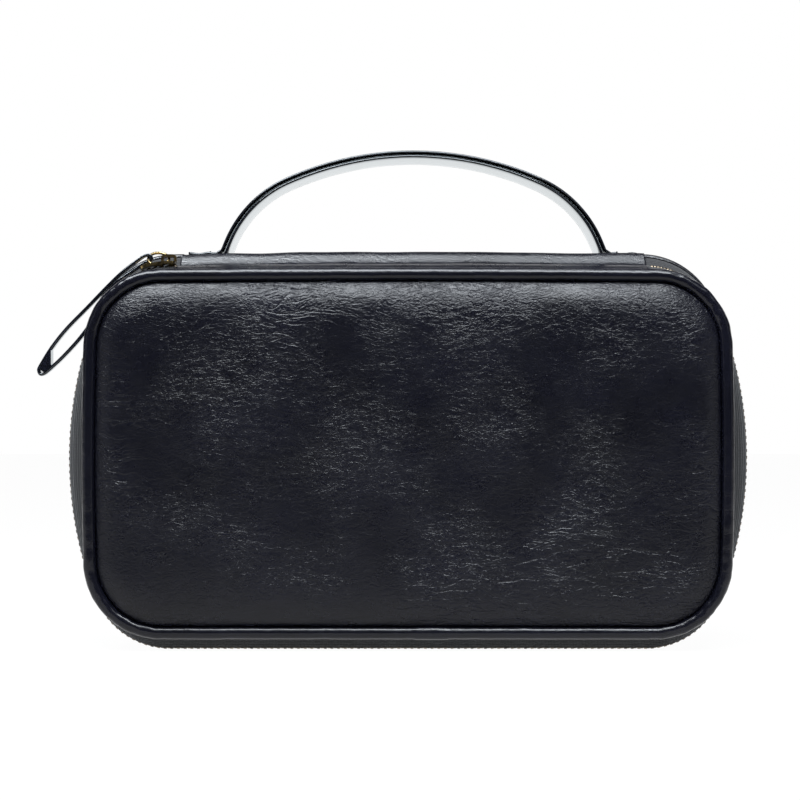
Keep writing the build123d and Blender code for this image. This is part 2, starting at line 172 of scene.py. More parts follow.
def make_object(name, vertices, faces, material):
    """A smooth shaded object from points in millimetres."""
    mesh = bpy.data.meshes.new(name)
    mesh.from_pydata((np.asarray(vertices) * MM).tolist(), [], [list(map(int, f)) for f in faces])
    mesh.validate()
    mesh.update()
    mesh.polygons.foreach_set("use_smooth", [True] * len(mesh.polygons))
    made = bpy.data.objects.new(name, mesh)
    bpy.context.scene.collection.objects.link(made)
    mesh.materials.append(material)
    return made


def skin(rings, across_closed, along_closed, caps=False):
    """Faces between rows of points: rings run along the outline, and follow each other across."""
    rows = len(rings)
    count = len(rings[0])
    faces = []
    for row in range(rows if across_closed else rows - 1):
        below = row * count
        above = (row + 1) % rows * count
        for step in range(count if along_closed else count - 1):
            after = (step + 1) % count
            faces.append((below + step, below + after, above + after, above + step))
    if caps:
        faces.append([row * count for row in range(rows)][::-1])
        faces.append([row * count + count - 1 for row in range(rows)])
    return faces


def make_band(name, rings, material, closed=True, move=None):
    """A closed band: its rings go once round its cross section."""
    vertices = np.concatenate(rings)
    if move is not None:
        vertices = vertices + move(vertices)
    faces = skin(rings, True, closed, caps=not closed)
    made = make_object(name, vertices, faces, material)
    face_outwards(made)
    return made


def face_outwards(made):
    work = bmesh.new()
    work.from_mesh(made.data)
    bmesh.ops.recalc_face_normals(work, faces=work.faces)
    work.to_mesh(made.data)
    work.free()


def add_bevel(made, width):
    bevel = made.modifiers.new("soft_edges", "BEVEL")
    bevel.width = width * MM
    bevel.segments = BEVEL_SEGMENTS
    bevel.limit_method = "ANGLE"
    bevel.angle_limit = math.radians(BEVEL_ANGLE)


# Materials
SPECULAR = 0.42
PANEL_SPECULAR = 0.25
PIPING_SPECULAR = 0.23
COAT_ROUGHNESS = 0.14
STRAP_COAT_ROUGHNESS = 0.08
STRAP_COAT_TINT = (0.86, 0.96, 1.0, 1.0)
# Blender's wave texture has one band in this length at a scale of 1
WAVE_PERIOD = 0.314


def new_material(name):
    """A material with its nodes, links, shader and texture coordinates."""
    material = bpy.data.materials.new(name)
    material.use_nodes = True
    nodes = material.node_tree.nodes
    links = material.node_tree.links
    shader = nodes["Principled BSDF"]
    coordinates = nodes.new("ShaderNodeTexCoord")
    return material, nodes, links, shader, coordinates


def math_node(nodes, links, operation, first, second=None, clamp=False):
    node = nodes.new("ShaderNodeMath")
    node.operation = operation
    node.use_clamp = clamp
    for socket, value in zip(node.inputs, (first, second)):
        if value is None:
            continue
        if isinstance(value, (int, float)):
            socket.default_value = value
        else:
            links.new(value, socket)
    return node.outputs[0]


def ramp_node(nodes, links, source, stops):
    node = nodes.new("ShaderNodeValToRGB")
    links.new(source, node.inputs[0])
    while len(node.color_ramp.elements) < len(stops):
        node.color_ramp.elements.new(0.5)
    for element, (place, colour) in zip(node.color_ramp.elements, stops):
        element.position = place
        element.color = (*colour, 1.0)
    return node.outputs[0]


def noise_node(nodes, links, vector, scale, detail=4.0, roughness=0.55, distortion=0.0):
    node = nodes.new("ShaderNodeTexNoise")
    node.inputs["Scale"].default_value = scale
    node.inputs["Detail"].default_value = detail
    node.inputs["Roughness"].default_value = roughness
    node.inputs["Distortion"].default_value = distortion
    links.new(vector, node.inputs["Vector"])
    return node.outputs["Fac"]


def warp_node(nodes, links, vector, scale, amount):
    """The vector pushed about by noise, so that a pattern loses its regular look."""
    node = nodes.new("ShaderNodeTexNoise")
    node.inputs["Scale"].default_value = scale
    node.inputs["Detail"].default_value = 3.0
    links.new(vector, node.inputs["Vector"])
    centred = nodes.new("ShaderNodeVectorMath")
    centred.operation = "SUBTRACT"
    centred.inputs[1].default_value = (0.5, 0.5, 0.5)
    links.new(node.outputs["Color"], centred.inputs[0])
    scaled = nodes.new("ShaderNodeVectorMath")
    scaled.operation = "SCALE"
    scaled.inputs["Scale"].default_value = amount
    links.new(centred.outputs[0], scaled.inputs[0])
    added = nodes.new("ShaderNodeVectorMath")
    added.operation = "ADD"
    links.new(vector, added.inputs[0])
    links.new(scaled.outputs[0], added.inputs[1])
    return added.outputs[0]


def stretch_node(nodes, links, vector, stretch, turn):
    node = nodes.new("ShaderNodeMapping")
    node.inputs["Scale"].default_value = stretch
    node.inputs["Rotation"].default_value = (0.0, turn, 0.0)
    links.new(vector, node.inputs["Vector"])
    return node.outputs[0]


def wrinkle_node(nodes, links, vector, scale, stretch, turn, width):
    """Short wavy valleys: 0 in a valley and 1 away from it."""
    flat = stretch_node(nodes, links, vector, stretch, turn)
    waves = noise_node(nodes, links, flat, scale, detail=2.5, roughness=0.6, distortion=0.5)
    centred = math_node(nodes, links, "SUBTRACT", waves, 0.5)
    apart = math_node(nodes, links, "ABSOLUTE", centred)
    return math_node(nodes, links, "DIVIDE", apart, width, clamp=True)


def leather_material(name, colour, roughness, fine, creases, coat, depth, specular=SPECULAR):
    """Imitation leather: fine short wrinkles, longer ones where it has been flexed, and pores."""
    material, nodes, links, shader, coordinates = new_material(name)
    place = coordinates.outputs["Object"]
    warped = warp_node(nodes, links, place, 60.0, 0.006)
    grain = wrinkle_node(nodes, links, warped, 680.0, (0.55, 1.0, 1.1), 0.0, 0.11)
    small = wrinkle_node(nodes, links, warped, 380.0, (0.6, 1.0, 1.25), 0.45, 0.08)
    tilted = wrinkle_node(nodes, links, warped, 95.0, (0.5, 1.0, 1.8), -0.5, 0.035)
    crossed = wrinkle_node(nodes, links, warped, 80.0, (0.5, 1.0, 1.7), 0.6, 0.03)
    patches = noise_node(nodes, links, place, 26.0, detail=2.0)
    patch = ramp_node(nodes, links, patches, [(0.36, (0.25,) * 3), (0.66, (1.0,) * 3)])
    folds = noise_node(nodes, links, place, 15.0, detail=2.0)
    fold_patch = ramp_node(nodes, links, folds, [(0.46, (0.0,) * 3), (0.66, (1.0,) * 3)])
    pores = noise_node(nodes, links, place, 1700.0, detail=2.0)
    layers = [
        (math_node(nodes, links, "MULTIPLY", grain, patch), 0.55 * fine),
        (math_node(nodes, links, "MULTIPLY", small, patch), 0.80 * fine),
        (math_node(nodes, links, "MULTIPLY", tilted, fold_patch), 0.95 * creases),
        (math_node(nodes, links, "MULTIPLY", crossed, fold_patch), 0.75 * creases),
        (pores, 0.15),
    ]
    height = None
    for layer, share in layers:
        scaled = math_node(nodes, links, "MULTIPLY", layer, share)
        height = scaled if height is None else math_node(nodes, links, "ADD", height, scaled)
    bump = nodes.new("ShaderNodeBump")
    bump.inputs["Strength"].default_value = 0.6
    bump.inputs["Distance"].default_value = depth
    links.new(height, bump.inputs["Height"])
    links.new(bump.outputs[0], shader.inputs["Normal"])
    links.new(bump.outputs[0], shader.inputs["Coat Normal"])
    shade = noise_node(nodes, links, place, 30.0, detail=5.0)
    dark = tuple(value * 0.75 for value in colour)
    light = tuple(value * 1.35 for value in colour)
    tone = ramp_node(nodes, links, shade, [(0.3, dark), (0.7, light)])
    links.new(tone, shader.inputs["Base Color"])
    rough_noise = noise_node(nodes, links, place, 140.0, detail=4.0)
    rough = ramp_node(
        nodes, links, rough_noise, [(0.3, (roughness * 0.85,) * 3), (0.7, (roughness * 1.2,) * 3)]
    )
    links.new(rough, shader.inputs["Roughness"])
    shader.inputs["Specular IOR Level"].default_value = specular
    shader.inputs["Coat Weight"].default_value = coat
    shader.inputs["Coat Roughness"].default_value = COAT_ROUGHNESS
    return material


def woven_material(name, colour, thread, sheen):
    """Plain woven cloth or tape with threads this far apart, in millimetres."""
    material, nodes, links, shader, coordinates = new_material(name)
    place = coordinates.outputs["Object"]
    waves = []
    for axis in ("X", "Y", "Z"):
        wave = nodes.new("ShaderNodeTexWave")
        wave.bands_direction = axis
        wave.inputs["Scale"].default_value = WAVE_PERIOD / (thread * MM)
        wave.inputs["Distortion"].default_value = 0.4
        links.new(place, wave.inputs["Vector"])
        waves.append(wave.outputs["Fac"])
    first = math_node(nodes, links, "MULTIPLY", waves[0], waves[1])
    second = math_node(nodes, links, "MULTIPLY", waves[1], waves[2])
    weave = math_node(nodes, links, "ADD", first, second)
    fuzz = noise_node(nodes, links, place, 900.0)
    height = math_node(nodes, links, "ADD", weave, fuzz)
    bump = nodes.new("ShaderNodeBump")
    bump.inputs["Strength"].default_value = 0.7
    bump.inputs["Distance"].default_value = 0.0002
    links.new(height, bump.inputs["Height"])
    links.new(bump.outputs[0], shader.inputs["Normal"])
    dark = tuple(value * 0.5 for value in colour)
    tone = ramp_node(nodes, links, weave, [(0.1, dark), (0.9, colour)])
    links.new(tone, shader.inputs["Base Color"])
    shader.inputs["Roughness"].default_value = 0.85
    shader.inputs["Sheen Weight"].default_value = sheen
    return material


def metal_material(name, bright, dull, roughness, grime):
    """Old metal: bright where it is rubbed, dark where it is not."""
    material, nodes, links, shader, coordinates = new_material(name)
    place = coordinates.outputs["Object"]
    stains = noise_node(nodes, links, place, 420.0, detail=5.0, roughness=0.65)
    tone = ramp_node(nodes, links, stains, [(grime - 0.14, dull), (grime + 0.14, bright)])
    links.new(tone, shader.inputs["Base Color"])
    shader.inputs["Metallic"].default_value = 1.0
    scratches = noise_node(nodes, links, place, 2200.0, detail=3.0)
    rough = ramp_node(
        nodes, links, stains, [(0.35, (roughness * 1.4,) * 3), (0.65, (roughness * 0.8,) * 3)]
    )
    links.new(rough, shader.inputs["Roughness"])
    bump = nodes.new("ShaderNodeBump")
    bump.inputs["Strength"].default_value = 0.25
    bump.inputs["Distance"].default_value = 0.00006
    links.new(scratches, bump.inputs["Height"])
    links.new(bump.outputs[0], shader.inputs["Normal"])
    return material


def plain_material(name, colour, roughness, grain):
    """Board or cord that hides inside the bag."""
    material, nodes, links, shader, coordinates = new_material(name)
    place = coordinates.outputs["Object"]
    spots = noise_node(nodes, links, place, grain)
    dark = tuple(value * 0.8 for value in colour)
    tone = ramp_node(nodes, links, spots, [(0.3, dark), (0.7, colour)])
    links.new(tone, shader.inputs["Base Color"])
    shader.inputs["Roughness"].default_value = roughness
    return material


BLACK = (0.0028, 0.0029, 0.0055)
panel_leather = leather_material(
    "panel_leather", BLACK, 0.29, 1.0, 1.2, 0.02, 0.00024, PANEL_SPECULAR
)
side_leather = leather_material("side_leather", BLACK, 0.28, 0.5, 0.4, 0.15, 0.00018)
piping_leather = leather_material(
    "piping_leather", BLACK, 0.22, 0.3, 0.3, 0.15, 0.0001, PIPING_SPECULAR
)
strap_leather = leather_material("strap_leather", BLACK, 0.14, 0.2, 0.2, 1.0, 0.00003)
strap_shader = strap_leather.node_tree.nodes["Principled BSDF"]
strap_shader.inputs["Coat Roughness"].default_value = STRAP_COAT_ROUGHNESS
strap_shader.inputs["Coat Tint"].default_value = STRAP_COAT_TINT
tape_cloth = woven_material("tape_cloth", (0.016, 0.016, 0.018), 0.55, 0.1)
lining_cloth = woven_material("lining_cloth", (0.035, 0.035, 0.04), 0.45, 0.15)
binding_cloth = woven_material("binding_cloth", (0.02, 0.02, 0.022), 0.5, 0.1)
thread_cloth = woven_material("thread_cloth", (0.03, 0.03, 0.032), 0.3, 0.2)
teeth_metal = metal_material("teeth_metal", (0.30, 0.24, 0.17), (0.035, 0.028, 0.022), 0.32, 0.52)
brass_metal = metal_material("brass_metal", (0.50, 0.37, 0.17), (0.045, 0.033, 0.02), 0.28, 0.52)
board_stuff = plain_material("board_stuff", (0.35, 0.30, 0.24), 0.8, 250.0)
cord_stuff = plain_material("cord_stuff", (0.70, 0.70, 0.68), 0.6, 400.0)


# Padded panels
PANEL_ROWS = 26
CROWN_POWER = 2.4


def padded_panel(name, shape, edge, crown, towards, seam_y, material, seed):
    """A crowned leather panel: its edge dips into the groove beside the piping."""
    last_inset, last_height = edge[-1]
    points, normals = OUTLINES[shape]
    rings = [ring(shape, inset, seam_y + towards * height) for inset, height in edge]
    inner = points - normals * last_inset
    low_z, high_z = inner[:, 1].min(), inner[:, 1].max()
    middle_z = (low_z + high_z) / 2
    reach = inner[:, 0].max() - (high_z - low_z) / 2
    half = STRAIGHT_POINTS // 2
    turn = CORNER_POINTS * 2 + SIDE_POINTS
    spine = np.concatenate([
        np.linspace(0, reach, half, endpoint=False),
        np.full(turn, reach),
        np.linspace(reach, -reach, STRAIGHT_POINTS, endpoint=False),
        np.full(turn, -reach),
        np.linspace(-reach, 0, half, endpoint=False),
    ])
    for row in range(1, PANEL_ROWS + 1):
        share = row / PANEL_ROWS
        flat_x = inner[:, 0] * (1 - share) + spine * share
        flat_z = inner[:, 1] * (1 - share) + middle_z * share
        rise = last_height + (crown - last_height) * (1 - (1 - share) ** CROWN_POWER)
        rings.append(np.stack([flat_x, np.full(COUNT, seam_y + towards * rise), flat_z], 1))
    vertices = np.concatenate(rings)
    soft = noise(vertices, 62.0, seed, 2) * 0.28 + noise(vertices, 24.0, seed + 1, 2) * 0.10
    fade = np.clip((np.abs(vertices[:, 1] - seam_y) - 1.0) / 4.0, 0, 1)
    vertices[:, 1] += soft * fade * 0.9
    made = make_object(name, vertices, skin(rings, False, True), material)
    work = bmesh.new()
    work.from_mesh(made.data)
    bmesh.ops.remove_doubles(work, verts=work.verts, dist=1e-6)
    bmesh.ops.recalc_face_normals(work, faces=work.faces)
    work.to_mesh(made.data)
    work.free()
    if made.data.polygons[0].normal.y * towards < 0:
        made.data.flip_normals()
    return made


FRONT_EDGE = [
    (4.4, -1.6), (4.7, -0.4), (5.0, 0.5), (5.4, 1.2), (6.0, 1.75), (6.9, 2.4), (8.2, 3.2),
    (10.0, 4.2), (12.5, 5.1), (15.5, 5.65), (19.0, 5.95), (23.0, 6.1), (26.0, 6.17),
]
front_panel = padded_panel(
    "front_panel_leather", "front", FRONT_EDGE, 6.4, -1, FRONT_SEAM_Y, panel_leather, 11
)
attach(front_panel, "lid")
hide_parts("front_panel", "front_foam")

BACK_EDGE = [
    (4.9, -1.6), (5.2, -0.6), (5.5, 0.3), (6.0, 0.9), (6.8, 1.25), (8.0, 1.5), (10.5, 1.75),
    (14.0, 1.95), (18.0, 2.1), (22.0, 2.2), (26.0, 2.3),
]
back_panel = padded_panel(
    "back_panel_leather", "zip", BACK_EDGE, 2.6, 1, BACK_SEAM_Y, panel_leather, 31
)
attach(back_panel, "case")
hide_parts("back_panel", "back_foam")


# Piping
PIPING_SIDES = 20
LAP_LENGTH = 12.0
LAP_HEIGHT = 0.22
LAP_TOP_Z = 60.0


def make_piping(name, shape, middle_inset, y, seed, join_x):
    """Leather tube that runs round a panel: pinched in the corners and lapped at one place."""
    points, normals = OUTLINES[shape]
    middle = points - normals * middle_inset
    middle_3d = np.stack([middle[:, 0], np.full(COUNT, y), middle[:, 1]], 1)
    turning = np.abs(np.roll(normals, -1, 0) - np.roll(normals, 1, 0)).sum(1)
    corner = np.clip(turning / turning.max() * 1.3, 0, 1)
    corner = np.convolve(np.tile(corner, 3), np.ones(31) / 31, "same")[COUNT:2 * COUNT]
    lap = np.clip((middle[:, 0] - join_x) / 0.8 + 0.5, 0, 1) * (middle[:, 0] < join_x + LAP_LENGTH)
    lap = lap * (middle[:, 1] < LAP_TOP_Z)
    rings = []
    for side in range(PIPING_SIDES):
        turn = 2 * math.pi * side / PIPING_SIDES
        direction = np.stack(
            [normals[:, 0] * math.cos(turn), np.full(COUNT, math.sin(turn)),
             normals[:, 1] * math.cos(turn)], 1
        )
        rim = middle_3d + direction * PIPING_RADIUS
        pinch = noise(rim, 5.5, seed, 2) * 0.20 * corner + noise(rim, 9.0, seed + 3, 3) * 0.07
        radius = PIPING_RADIUS * 0.985 + pinch + lap * LAP_HEIGHT
        rings.append(middle_3d + direction * radius[:, None])
    return make_band(name, rings, piping_leather)


FRONT_JOIN_X = 2.5
BACK_JOIN_X = -20.0
front_piping = make_piping(
    "front_piping_leather", "front", PIPING_RADIUS, FRONT_SEAM_Y, 5, FRONT_JOIN_X
)
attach(front_piping, "lid")
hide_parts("front_piping")
back_piping = make_piping(
    "back_piping_leather", "zip", BACK_PIPING_INSET, BACK_SEAM_Y, 7, BACK_JOIN_X
)
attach(back_piping, "case")
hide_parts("back_piping")


# Zip tapes, which leave out the leather strip on the top
zip_x = OUTLINES["zip"][0][:, 0]
zip_z = OUTLINES["zip"][0][:, 1]
on_top = zip_z > ZIP["top"] / 2
in_strip = on_top & (zip_x > STRIP_LEFT_X) & (zip_x < STRIP_RIGHT_X)
strip_indices = np.where(in_strip)[0]
first_side = strip_indices[-1]
side_indices = np.concatenate([np.arange(first_side, COUNT), np.arange(0, strip_indices[0] + 1)])
strip_indices = np.concatenate([[strip_indices[0] - 1], strip_indices, [strip_indices[-1] + 1]])


def lid_ring(share, inset, y, indices):
    """Ring of the lid's wall, this share of the way from the front outline to the zip."""
    near = ring("front", inset, y, indices)
    far = ring("zip", inset, y, indices)
    return near * (1 - share) + far * share


def lid_wall(section, indices):
    """Rings of the lid's wall from under the piping to the teeth."""
    return [lid_ring(share, inset, y, indices) for share, inset, y in section]


# Beside the strip the lid has no tape of its own, so that it opens past the leather pull
NOTCH_LEFT_X = -105.5
past_notch = np.where((zip_x[side_indices] < NOTCH_LEFT_X) | ~on_top[side_indices])[0][0]
tape_indices = side_indices[past_notch:]

front_tape_section = [
    (0.0, 1.5, -30.9), (0.25, 1.0, -29.8), (0.62, 0.8, -28.4), (1.0, 0.7, -26.9), (1.0, 0.7, -24.0),
    (1.0, 1.5, -24.0), (1.0, 1.5, -26.9), (0.62, 1.6, -28.4), (0.25, 1.8, -29.8), (0.0, 2.3, -30.9),
]
tape_front = make_band(
    "zip_tape_front_cloth", lid_wall(front_tape_section, tape_indices), tape_cloth, closed=False
)
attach(tape_front, "lid")
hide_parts("zip_tape_front")


# Behind the zip the case stays level for this long before it rises
LEVEL_BEHIND_ZIP = 5.3


def case_ring(inset, y, indices):
    """Ring of the case, raised under the handle and level at the zip and at the back."""
    ramps = [ZIP_Y + LEVEL_BEHIND_ZIP, CREST_FRONT_Y, CREST_BACK_Y, GUSSET_BACK_Y]
    share = float(np.interp(y, ramps, [0.0, 1.0, 1.0, 0.0]))
    share = share * share * (3 - 2 * share)
    low = ring("zip", inset, y, indices)
    high = ring("crest", inset, y, indices)
    return low * (1 - share) + high * share


def case_band(name, depths, outer, inner, material, move=None):
    """Band of the case between two insets, open at the top where the strip lies."""
    rings = [case_ring(outer, y, side_indices) for y in depths]
    rings += [case_ring(inner, y, side_indices) for y in reversed(depths)]
    return make_band(name, rings, material, False, move)


BACK_TAPE_FRONT_Y = -20.0
BACK_TAPE_LAP = 0.6
back_tape_depths = np.linspace(BACK_TAPE_FRONT_Y, GUSSET_FRONT_Y + BACK_TAPE_LAP, 8)
tape_back = case_band("zip_tape_back_cloth", back_tape_depths, 0.7, 1.5, tape_cloth)
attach(tape_back, "case")
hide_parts("zip_tape_back")


# Gusset
def gusset_waves(vertices):
    """The gusset sags a little between its seams."""
    free = np.clip((vertices[:, 1] - GUSSET_FRONT_Y) / 8, 0, 1)
    free *= np.clip((GUSSET_BACK_Y - vertices[:, 1]) / 8, 0, 1)
    high = np.clip(vertices[:, 2] / 12.0, 0, 1)
    wave = noise(vertices, 46.0, 21, 2) * 0.55 * free * high
    out = np.stack([vertices[:, 0], vertices[:, 1] * 0, vertices[:, 2] - 72.0], 1)
    out /= np.linalg.norm(out, axis=1)[:, None] + 1e-9
    return out * wave[:, None]


gusset = case_band(
    "gusset_leather", np.linspace(GUSSET_FRONT_Y, GUSSET_BACK_Y, 30), 0.0, LEATHER, side_leather,
    gusset_waves
)
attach(gusset, "case")
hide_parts("gusset", "gusset_foam")

# Leather strip on the top: one piece from the front piping over the hinge to the back piping
flap_section = [
    (0.0, 1.3, -31.2), (0.2, 0.95, -30.0), (0.45, 0.55, -28.4), (0.7, 0.2, -26.4), (0.9, 0.0, -24.4),
    (1.0, 0.0, -22.6),
]
strip_outer = lid_wall(flap_section, strip_indices)
inner_section = [(share, inset + LEATHER, y) for share, inset, y in flap_section]
strip_inner = lid_wall(inner_section, strip_indices)
strip_depths = np.concatenate([
    np.linspace(ZIP_Y, GUSSET_FRONT_Y, 12), np.linspace(CREST_FRONT_Y, GUSSET_BACK_Y, 30),
])
strip_outer += [case_ring(0.0, y, strip_indices) for y in strip_depths]
strip_inner += [case_ring(LEATHER, y, strip_indices) for y in strip_depths]


def strip_waves(vertices):
    """The strip swells between its seams, and has a shallow fold along the hinge."""
    depth = vertices[:, 1]
    free = np.clip((depth + 30.0) / 14, 0, 1) * np.clip((31.0 - depth) / 10, 0, 1)
    wave = noise(vertices, 40.0, 41, 2) * 0.30 * free
    fold = -0.35 * np.exp(-((depth - ZIP_Y) / 1.1) ** 2)
    return np.stack([np.zeros(len(depth)), np.zeros(len(depth)), wave + fold], 1)


top_strip = make_band(
    "top_strip_leather", strip_outer + strip_inner[::-1], side_leather, False, strip_waves
)
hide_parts("top_strip", "lid_flap", "top_board")
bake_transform(top_strip)

# Zip teeth
TOOTH_PITCH = 2.5
TOOTH_HEIGHT = 2.3
TOOTH_FOOT = 2.5
TOOTH_EDGE = 0.35
EDGE_SHRINK = 0.82
ROW_START = 1.6
ROW_END = 1.2


def path_along(indices):
    """Points and normals of the zip line at these indices, with the distance along it."""
    points, normals = OUTLINES["zip"]
    points = points[indices]
    normals = normals[indices]
    steps = np.linalg.norm(np.diff(points, axis=0), axis=1)
    distance = np.concatenate([[0], np.cumsum(steps)])
    return points, normals, distance


def tooth_shape(side):
    """One tooth: a foot on the tape that narrows to a rounded head past the middle."""
    head = 0.55
    profile = [
        (-TOOTH_FOOT, 0.62), (-TOOTH_FOOT + 0.5, 0.68), (-1.2, 0.68), (-0.5, 0.52), (0.0, 0.62),
        (head, 0.58), (head + 0.35, 0.38),
    ]
    outline_points = profile + [(along, -across) for along, across in profile[::-1]]
    levels = [
        (0.0, EDGE_SHRINK), (TOOTH_EDGE, 1.0), (TOOTH_HEIGHT - TOOTH_EDGE, 1.0),
        (TOOTH_HEIGHT, EDGE_SHRINK),
    ]
    vertices = []
    for level, shrink in levels:
        for along, across in outline_points:
            vertices.append((across * shrink, along * side * shrink, level))
    count = len(outline_points)
    faces = []
    last_row = len(levels) - 1
    for row in range(last_row):
        for step in range(count):
            after = (step + 1) % count
            faces.append((row * count + step, row * count + after,
                          (row + 1) * count + after, (row + 1) * count + step))
    faces.append(list(range(count))[::-1])
    faces.append([last_row * count + step for step in range(count)])
    return np.array(vertices), faces


def make_teeth(name, side, keep, spread):
    """A row of teeth this far off the zip line; side is -1 for the front row and 1 for the back."""
    points, normals, distance = path_along(side_indices)
    shape, shape_faces = tooth_shape(-side)
    vertices = []
    faces = []
    number = 0
    offset = TOOTH_PITCH / 2 if side > 0 else 0.0
    place = ROW_START + offset
    while place < distance[-1] - ROW_END:
        x = np.interp(place, distance, points[:, 0])
        z = np.interp(place, distance, points[:, 1])
        normal = np.array([np.interp(place, distance, normals[:, 0]),
                           np.interp(place, distance, normals[:, 1])])
        normal /= np.linalg.norm(normal)
        place += TOOTH_PITCH
        if not keep(x, z):
            continue
        along = np.array([-normal[1], normal[0]])
        flat = shape[:, :1] * along - (shape[:, 2:3] - 0.02) * normal[None, :]
        world = np.stack([x + flat[:, 0], ZIP_Y + side * spread + shape[:, 1], z + flat[:, 1]], 1)
        vertices.append(world)
        faces += [[corner + number for corner in face] for face in shape_faces]
        number += len(shape)
    made = make_object(name, np.concatenate(vertices), faces, teeth_metal)
    face_outwards(made)
    return made


corner_low, corner_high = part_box("zip_teeth_corner_front")


def at_corner(x, z):
    """Whether a tooth is on the short stretch beside the strip that stays on the case."""
    return x * MM < corner_high.x + 0.001 and z * MM > corner_low.z


def off_corner(x, z):
    return not at_corner(x, z)


teeth_rows = [
    ("zip_teeth_front_metal", -1, off_corner, 0.0, "lid", "zip_teeth_front"),
    ("zip_teeth_back_metal", 1, off_corner, 0.0, "case", "zip_teeth_back"),
    ("zip_teeth_corner_front_metal", -1, at_corner, 0.9, "case", "zip_teeth_corner_front"),
    ("zip_teeth_corner_back_metal", 1, at_corner, 0.9, "case", "zip_teeth_corner_back"),
]
for name, side, keep, spread, body, node in teeth_rows:
    row = make_teeth(name, side, keep, spread)
    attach(row, body)
    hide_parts(node)

# Handle
HANDLE = {"x": 2.2, "top": 188.5, "width": 28.0, "y": 4.0}
# Each arc of the arch: its radius, and the angle from upright where it ends
CROWN_ARC = (120.0, 24.0)
SHOULDER_ARC = (45.3, 68.0)
STRAP_THICKNESS = 1.25
INNER_DEPTH = 1.75
INNER_MARGIN = 0.1
TAB_LENGTH = 12.0
TAB_BEND = 1.6


def arch_place(depth, angle):
    """Point and outward normal of the strap at a depth below its outer side."""
    side = np.sign(angle) if angle else 1.0
    swing = abs(angle)
    crown = math.radians(min(swing, CROWN_ARC[1]))
    reach = (CROWN_ARC[0] - depth) * math.sin(crown)
    drop = CROWN_ARC[0] - (CROWN_ARC[0] - depth) * math.cos(crown)
    if swing > CROWN_ARC[1]:
        first = math.radians(CROWN_ARC[1])
        last = math.radians(swing)
        reach += (SHOULDER_ARC[0] - depth) * (math.sin(last) - math.sin(first))
        drop += (SHOULDER_ARC[0] - depth) * (math.cos(first) - math.cos(last))
    turn = math.radians(swing)
    point = np.array([HANDLE["x"] + side * reach, HANDLE["top"] - drop])
    return point, np.array([side * math.sin(turn), math.cos(turn)])


def strip_height(x):
    """Height of the strip's outer side under the handle."""
    return CREST["top"] - CREST["rise"] * (x / (CREST["width"] - CREST["bow"])) ** 2


def strap_path(depth, tab):
    """Points and normals of one layer from foot to foot; with a tab, its ends turn outwards."""
    slope = math.radians(SHOULDER_ARC[1])
    bend = TAB_BEND if tab else 0.0
    path = []
    for angle in np.linspace(-SHOULDER_ARC[1], SHOULDER_ARC[1], 61):
        path.append(arch_place(depth, angle))
    for side in (-1, 1):
        start, normal = arch_place(depth, side * SHOULDER_ARC[1])
        floor = strip_height(start[0]) + 0.2
        legs = []
        fall = start[1] - floor - bend
        run = fall / math.tan(slope)
        for share in np.linspace(0, 1, 5)[1:]:
            legs.append((start + np.array([side * run, -fall]) * share, normal))
        if tab:
            foot = legs[-1][0]
            for share in np.linspace(0, 1, 7)[1:]:
                turn = slope * (1 - share)
                direction = np.array([side * math.sin(turn), math.cos(turn)])
                progress = math.sin(share * math.pi / 2)
                x = foot[0] + side * bend * 1.1 * progress
                z = foot[1] - (foot[1] - floor - 0.5) * progress
                legs.append((np.array([x, z]), direction))
            last = legs[-1][0]
            for share in np.linspace(0, 1, 9)[1:]:
                x = last[0] + side * (TAB_LENGTH - bend) * share
                z = strip_height(x) + 0.7 + 0.25 * math.sin(share * 9.0 + side)
                legs.append((np.array([x, z]), np.array([0.0, 1.0])))
        path = legs[::-1] + path if side < 0 else path + legs
    return path


def make_strap(name, depth, half_width, tab, seed):
    """A strap layer with rolled edges; its outer side lies this deep under the handle's top."""
    path = strap_path(depth, tab)
    across = np.array([-1.0, -0.97, -0.9, -0.6, 0.0, 0.6, 0.9, 0.97, 1.0])
    drops = np.array([0.5, 0.22, 0.05, 0.0, 0.0, 0.0, 0.05, 0.22, 0.5])
    rings = []
    outer_side = list(zip(across, drops))
    inner_side = [(share, STRAP_THICKNESS - drop) for share, drop in zip(across[::-1], drops)]
    for share, below in outer_side + inner_side:
        y = HANDLE["y"] + share * half_width
        rings.append(np.array([(p[0] - n[0] * below, y, p[1] - n[1] * below) for p, n in path]))

    def waves(vertices):
        wave = noise(vertices, 30.0, seed, 2) * 0.12
        return np.stack([wave * 0, wave, wave * 0.5], 1)

    return make_band(name, rings, strap_leather, False, waves)


outer_half_width = HANDLE["width"] / 2
handle_outer = make_strap("handle_outer_leather", 0.0, outer_half_width, True, 51)
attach(handle_outer, "case")
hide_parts("handle_outer", "handle_core")
inner_half_width = outer_half_width - INNER_MARGIN
handle_inner = make_strap("handle_inner_leather", INNER_DEPTH, inner_half_width, False, 53)
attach(handle_inner, "case")
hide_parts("handle_inner")


# Sewing thread at the ends of the handle
STITCH_ROW_REACH = 5.2
STITCH_PITCH = 3.0
STITCHES_IN_ROW = 9
STITCH_LIFT = 0.86


def make_stitches(name, places, length, radius):
    """Short rounded stitches along Y, one at each place."""
    work = bmesh.new()
    for place in places:
        made = bmesh.ops.create_uvsphere(work, u_segments=10, v_segments=8, radius=1.0)
        for vertex in made["verts"]:
            vertex.co.x = (place[0] + vertex.co.x * radius) * MM
            vertex.co.y = (place[1] + vertex.co.y * length / 2) * MM
            vertex.co.z = (place[2] + vertex.co.z * radius) * MM
    mesh = bpy.data.meshes.new(name)
    work.to_mesh(mesh)
    work.free()
    mesh.polygons.foreach_set("use_smooth", [True] * len(mesh.polygons))
    made = bpy.data.objects.new(name, mesh)
    bpy.context.scene.collection.objects.link(made)
    mesh.materials.append(thread_cloth)
    return made


